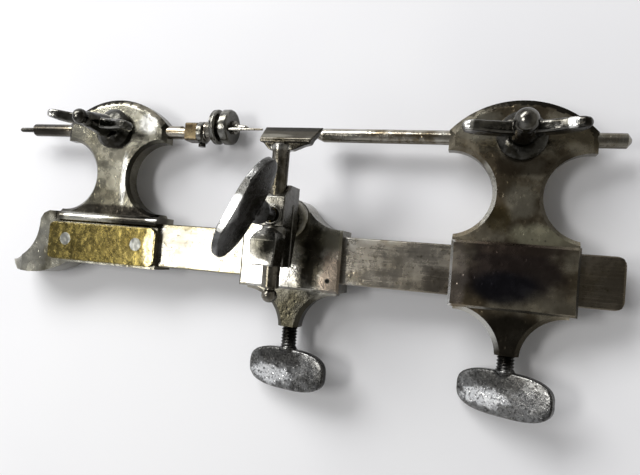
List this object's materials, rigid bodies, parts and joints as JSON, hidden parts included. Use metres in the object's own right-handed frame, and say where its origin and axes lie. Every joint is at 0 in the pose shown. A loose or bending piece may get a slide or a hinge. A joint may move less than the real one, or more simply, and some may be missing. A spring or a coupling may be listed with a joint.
{
  "type": "watchmaker's lathe",
  "caption": "Watchmaker's turns: a flat bed bar with a fixed and a sliding dead-centre head, winged clamp screws, a tool rest on a sliding saddle and a vice lug with brass cheeks.",
  "frame": {"origin": "middle of the back face of the rear brass cheek, where a vice jaw bears; the turns lie on their back as pictured", "axes": "+X along the bed bar towards the sliding head, +Y from the bed bar towards the runners, which is up in use, +Z out of the front face"},
  "size_m": [0.1981, 0.0876, 0.0517],
  "materials": {
    "bed_bar": "aged bright steel, fine scratches and stains",
    "headstock": "aged steel with grey-brown patina",
    "front_cheek": "dull olive-gold brass, scratched",
    "rear_cheek": "dull olive-gold brass, scratched",
    "left_rivet": "pale filed steel",
    "right_rivet": "pale filed steel",
    "left_screw_bush": "dark gunmetal",
    "left_runner": "polished steel with brown stains",
    "runner_block": "dull brass",
    "runner_collar": "worn steel",
    "collar_screw": "dark steel",
    "pulley": "turned steel with a bright rim",
    "nose_ring": "worn steel",
    "driver_pin": "worn steel",
    "left_pad": "dull brass",
    "left_wing_screw": "dark gunmetal with bright worn edges",
    "tailstock": "aged steel, brown-black patina",
    "right_screw_bush": "dark gunmetal",
    "tailstock_shoe": "plain steel",
    "tailstock_thumbscrew": "pitted grey steel",
    "tailstock_runner": "polished steel with brown stains",
    "right_pad": "dull brass",
    "right_wing_screw": "dark gunmetal with bright worn edges",
    "saddle": "aged steel with speckled patina",
    "saddle_boss": "aged steel",
    "saddle_shoe": "plain steel",
    "saddle_thumbscrew": "pitted grey steel",
    "rest_holder": "dark worn steel",
    "holder_pad": "dull brass",
    "holder_thumbscrew": "pitted grey steel, black neck",
    "tool_rest": "dark worn steel, bright edge",
    "rest_finial": "dark worn steel"
  },
  "bodies": {
    "frame": {"bed_bar": "bed_bar", "headstock": "headstock", "front_cheek": "front_cheek", "rear_cheek": "rear_cheek", "left_rivet": "left_rivet", "right_rivet": "right_rivet", "left_screw_bush": "left_screw_bush"},
    "left_runner": {"left_runner": "left_runner", "runner_block": "runner_block", "runner_collar": "runner_collar", "collar_screw": "collar_screw", "nose_ring": "nose_ring"},
    "pulley": {"pulley": "pulley", "driver_pin": "driver_pin"},
    "left_pad": {"left_pad": "left_pad"},
    "left_wing_screw": {"left_wing_screw": "left_wing_screw"},
    "tailstock": {"tailstock": "tailstock", "right_screw_bush": "right_screw_bush"},
    "tailstock_runner": {"tailstock_runner": "tailstock_runner"},
    "right_pad": {"right_pad": "right_pad"},
    "right_wing_screw": {"right_wing_screw": "right_wing_screw"},
    "tailstock_shoe": {"tailstock_shoe": "tailstock_shoe"},
    "tailstock_thumbscrew": {"tailstock_thumbscrew": "tailstock_thumbscrew"},
    "saddle": {"saddle": "saddle", "saddle_boss": "saddle_boss"},
    "saddle_shoe": {"saddle_shoe": "saddle_shoe"},
    "saddle_thumbscrew": {"saddle_thumbscrew": "saddle_thumbscrew"},
    "rest_holder": {"rest_holder": "rest_holder"},
    "holder_pad": {"holder_pad": "holder_pad"},
    "holder_thumbscrew": {"holder_thumbscrew": "holder_thumbscrew"},
    "rest_finial": {"rest_finial": "rest_finial"},
    "tool_rest": {"tool_rest": "tool_rest"}
  },
  "joints": [
    {"name": "tailstock_travel", "type": "slide", "parent": "frame", "child": "tailstock", "axis": [1, 0, 0], "range_m": [-0.018, 0.011]},
    {"name": "saddle_travel", "type": "slide", "parent": "frame", "child": "saddle", "axis": [1, 0, 0], "range_m": [-0.028, 0.012]},
    {"name": "left_runner_travel", "type": "slide", "parent": "frame", "child": "left_runner", "axis": [1, 0, 0], "range_m": [-0.006, 0.0015]},
    {"name": "pulley_spin", "type": "hinge", "parent": "left_runner", "child": "pulley", "pos_m": [0.0384, 0.0404, 0.006], "axis": [1, 0, 0], "continuous": true},
    {"name": "left_pad_lift", "type": "slide", "parent": "frame", "child": "left_pad", "axis": [0, 0, 1], "range_m": [0, 0.00184]},
    {"name": "left_wing_turn", "type": "hinge", "parent": "left_pad", "child": "left_wing_screw", "pos_m": [0, 0.0384, 0.006], "axis": [0, 0, 1], "range_deg": [0, 720]},
    {"name": "tailstock_runner_travel", "type": "slide", "parent": "tailstock", "child": "tailstock_runner", "axis": [1, 0, 0], "range_m": [-0.004, 0.012]},
    {"name": "right_pad_lift", "type": "slide", "parent": "tailstock", "child": "right_pad", "axis": [0, 0, 1], "range_m": [0, 0.00184]},
    {"name": "right_wing_turn", "type": "hinge", "parent": "right_pad", "child": "right_wing_screw", "pos_m": [0.1285, 0.0384, 0.006], "axis": [0, 0, 1], "range_deg": [0, 720]},
    {"name": "tailstock_shoe_drop", "type": "slide", "parent": "tailstock", "child": "tailstock_shoe", "axis": [0, -1, 0], "range_m": [0, 0.00138]},
    {"name": "tailstock_knob_turn", "type": "hinge", "parent": "tailstock_shoe", "child": "tailstock_thumbscrew", "pos_m": [0.1285, -0.02, 0.006], "axis": [0, -1, 0], "range_deg": [0, 540]},
    {"name": "saddle_shoe_drop", "type": "slide", "parent": "saddle", "child": "saddle_shoe", "axis": [0, -1, 0], "range_m": [0, 0.00138]},
    {"name": "saddle_knob_turn", "type": "hinge", "parent": "saddle_shoe", "child": "saddle_thumbscrew", "pos_m": [0.0662, -0.02, 0.006], "axis": [0, -1, 0], "range_deg": [0, 540]},
    {"name": "holder_reach", "type": "slide", "parent": "saddle", "child": "rest_holder", "axis": [0, 0, 1], "range_m": [-0.0009, 0.008]},
    {"name": "holder_pad_lift", "type": "slide", "parent": "rest_holder", "child": "holder_pad", "axis": [0, 0, 1], "range_m": [0, 0.00184]},
    {"name": "holder_knob_turn", "type": "hinge", "parent": "holder_pad", "child": "holder_thumbscrew", "pos_m": [0.0656, 0.0119, 0.03], "axis": [0, 0, 1], "range_deg": [0, 720]},
    {"name": "rest_lift", "type": "slide", "parent": "rest_holder", "child": "rest_finial", "axis": [0, 1, 0], "range_m": [-0.0075, 0.006]},
    {"name": "rest_swivel", "type": "hinge", "parent": "rest_finial", "child": "tool_rest", "pos_m": [0.0656, 0, 0.024], "axis": [0, 1, 0], "range_deg": [-60, 60]}
  ],
  "couplings": [
    {"joint": "left_wing_turn", "follows": "left_pad_lift", "rad_per_m": 6829.5},
    {"joint": "right_wing_turn", "follows": "right_pad_lift", "rad_per_m": 6829.5},
    {"joint": "tailstock_knob_turn", "follows": "tailstock_shoe_drop", "rad_per_m": 6829.5},
    {"joint": "saddle_knob_turn", "follows": "saddle_shoe_drop", "rad_per_m": 6829.5},
    {"joint": "holder_knob_turn", "follows": "holder_pad_lift", "rad_per_m": 6829.5}
  ]
}
